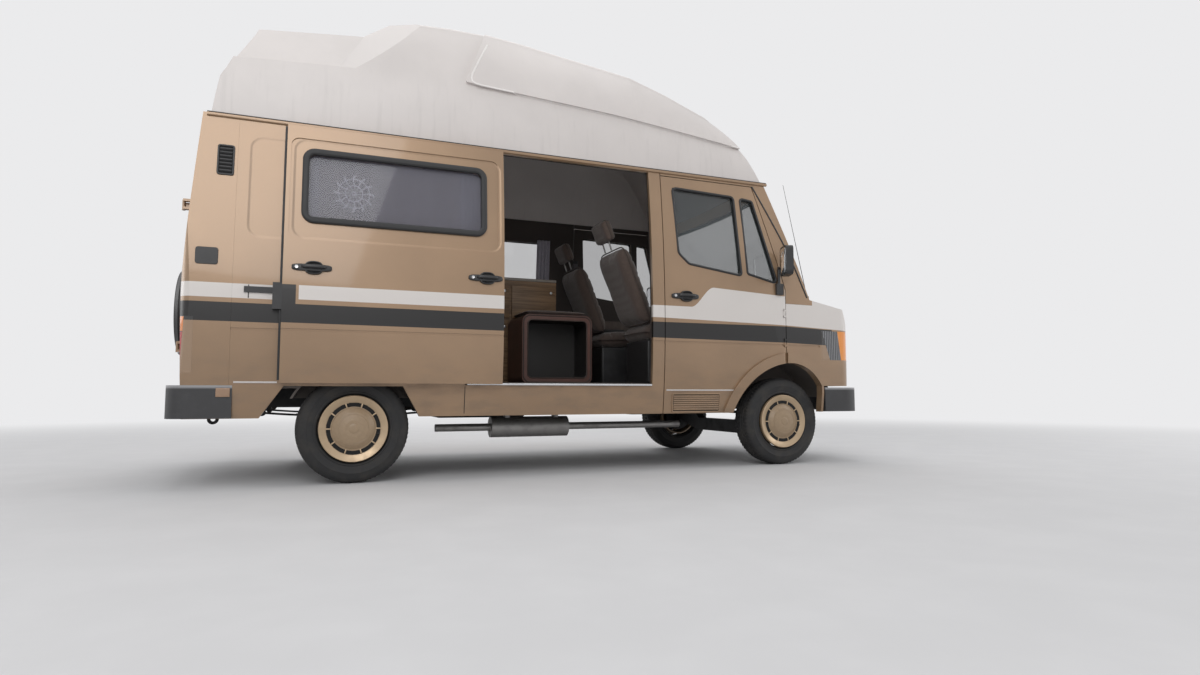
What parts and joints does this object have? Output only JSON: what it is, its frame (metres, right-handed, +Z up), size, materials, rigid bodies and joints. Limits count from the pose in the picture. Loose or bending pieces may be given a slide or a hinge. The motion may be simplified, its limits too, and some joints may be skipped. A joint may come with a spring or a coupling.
{
  "type": "camper van",
  "caption": "High-roof camper van with an open sliding side door, hinged cab and rear doors, a bonnet and steered wheels.",
  "frame": {"origin": "on the ground under the middle of the overall length and width", "axes": "+X forward, +Y to the van's left, +Z up"},
  "size_m": [4.912, 2.3592, 3.007],
  "materials": {
    "body_paint": "metallic",
    "roof_grp": "satin",
    "glass": "clear",
    "black_plastic": "matt",
    "tyre": "matt",
    "lamp_glass": "clear",
    "amber_lens": "gloss",
    "red_lens": "gloss",
    "chassis_black": "satin",
    "cast_grey": "rough",
    "floor_covering": "satin",
    "wood_panel": "satin",
    "seat_cloth": "matt",
    "dark_cover": "matt"
  },
  "bodies": {
    "van_body": {"bulkhead": "floor_covering", "cab_seats": "seat_cloth", "cabinets": "wood_panel", "chassis_frame": "chassis_black", "dashboard": "black_plastic", "dinette_seat": "wood_panel", "engine": "cast_grey", "engine_cover": "floor_covering", "exhaust": "cast_grey", "floor_pan": "floor_covering", "front_axle": "chassis_black", "front_bumper": "black_plastic", "front_panel": "body_paint", "front_wings": "body_paint", "fuel_tank": "chassis_black", "grille": "black_plastic", "headlamps": "lamp_glass", "high_roof": "roof_grp", "indicators": "amber_lens", "leaf_springs": "chassis_black", "rear_axle": "chassis_black", "rear_bench": "wood_panel", "rear_bumper": "black_plastic", "rear_frame": "body_paint", "side_wall_left": "body_paint", "side_wall_right": "body_paint", "side_window_left": "glass", "sliding_door": "body_paint", "sliding_door_glass": "glass", "sliding_door_rail": "black_plastic", "steering_wheel": "black_plastic", "tail_lamps": "red_lens", "windscreen": "glass", "windscreen_frame": "body_paint"},
    "steering_knuckle_left": {"knuckle_left": "cast_grey"},
    "steering_knuckle_right": {"knuckle_right": "cast_grey"},
    "road_wheel_front_left": {"tyre_front_left": "tyre", "wheel_front_left": "body_paint"},
    "road_wheel_front_right": {"tyre_front_right": "tyre", "wheel_front_right": "body_paint"},
    "road_wheel_rear_left": {"tyre_rear_left": "tyre", "wheel_rear_left": "body_paint"},
    "road_wheel_rear_right": {"tyre_rear_right": "tyre", "wheel_rear_right": "body_paint"},
    "door_left": {"cab_door_left": "body_paint", "cab_door_glass_left": "glass", "mirror_left": "black_plastic"},
    "door_right": {"cab_door_right": "body_paint", "cab_door_glass_right": "glass", "mirror_right": "black_plastic"},
    "tail_door_left": {"rear_door_left": "body_paint", "rear_door_glass_left": "glass", "spare_wheel": "dark_cover"},
    "tail_door_right": {"rear_door_right": "body_paint", "rear_door_glass_right": "glass"},
    "bonnet_lid": {"bonnet": "body_paint"}
  },
  "joints": [
    {"name": "steer_right", "type": "hinge", "parent": "van_body", "child": "steering_knuckle_right", "pos_m": [1.711, -0.69, 0.322], "axis": [0, 0, 1], "range_deg": [-33, 33]},
    {"name": "steer_left", "type": "hinge", "parent": "van_body", "child": "steering_knuckle_left", "pos_m": [1.711, 0.69, 0.322], "axis": [0, 0, 1], "range_deg": [-33, 33]},
    {"name": "spin_front_right", "type": "hinge", "parent": "steering_knuckle_right", "child": "road_wheel_front_right", "pos_m": [1.711, -0.82, 0.322], "axis": [0, 1, 0], "continuous": true},
    {"name": "spin_front_left", "type": "hinge", "parent": "steering_knuckle_left", "child": "road_wheel_front_left", "pos_m": [1.711, 0.82, 0.322], "axis": [0, 1, 0], "continuous": true},
    {"name": "spin_rear_right", "type": "hinge", "parent": "van_body", "child": "road_wheel_rear_right", "pos_m": [-1.339, -0.82, 0.322], "axis": [0, 1, 0], "continuous": true},
    {"name": "spin_rear_left", "type": "hinge", "parent": "van_body", "child": "road_wheel_rear_left", "pos_m": [-1.339, 0.82, 0.322], "axis": [0, 1, 0], "continuous": true},
    {"name": "cab_door_right_hinge", "type": "hinge", "parent": "van_body", "child": "door_right", "pos_m": [1.691, -0.984, 1], "axis": [0, 0, 1], "range_deg": [0, 70]},
    {"name": "cab_door_left_hinge", "type": "hinge", "parent": "van_body", "child": "door_left", "pos_m": [1.691, 0.984, 1], "axis": [0, 0, -1], "range_deg": [0, 70]},
    {"name": "rear_door_right_hinge", "type": "hinge", "parent": "van_body", "child": "tail_door_right", "pos_m": [-2.281, -0.797, 1.2], "axis": [0, 0, 1], "range_deg": [0, 180]},
    {"name": "rear_door_left_hinge", "type": "hinge", "parent": "van_body", "child": "tail_door_left", "pos_m": [-2.281, 0.797, 1.2], "axis": [0, 0, -1], "range_deg": [0, 100]},
    {"name": "bonnet_hinge", "type": "hinge", "parent": "van_body", "child": "bonnet_lid", "pos_m": [2.00982, 0, 1.22317], "axis": [0, -1, 0], "range_deg": [0, 60]}
  ],
  "couplings": [
    {"joint": "steer_left", "follows": "steer_right", "ratio": 1}
  ]
}
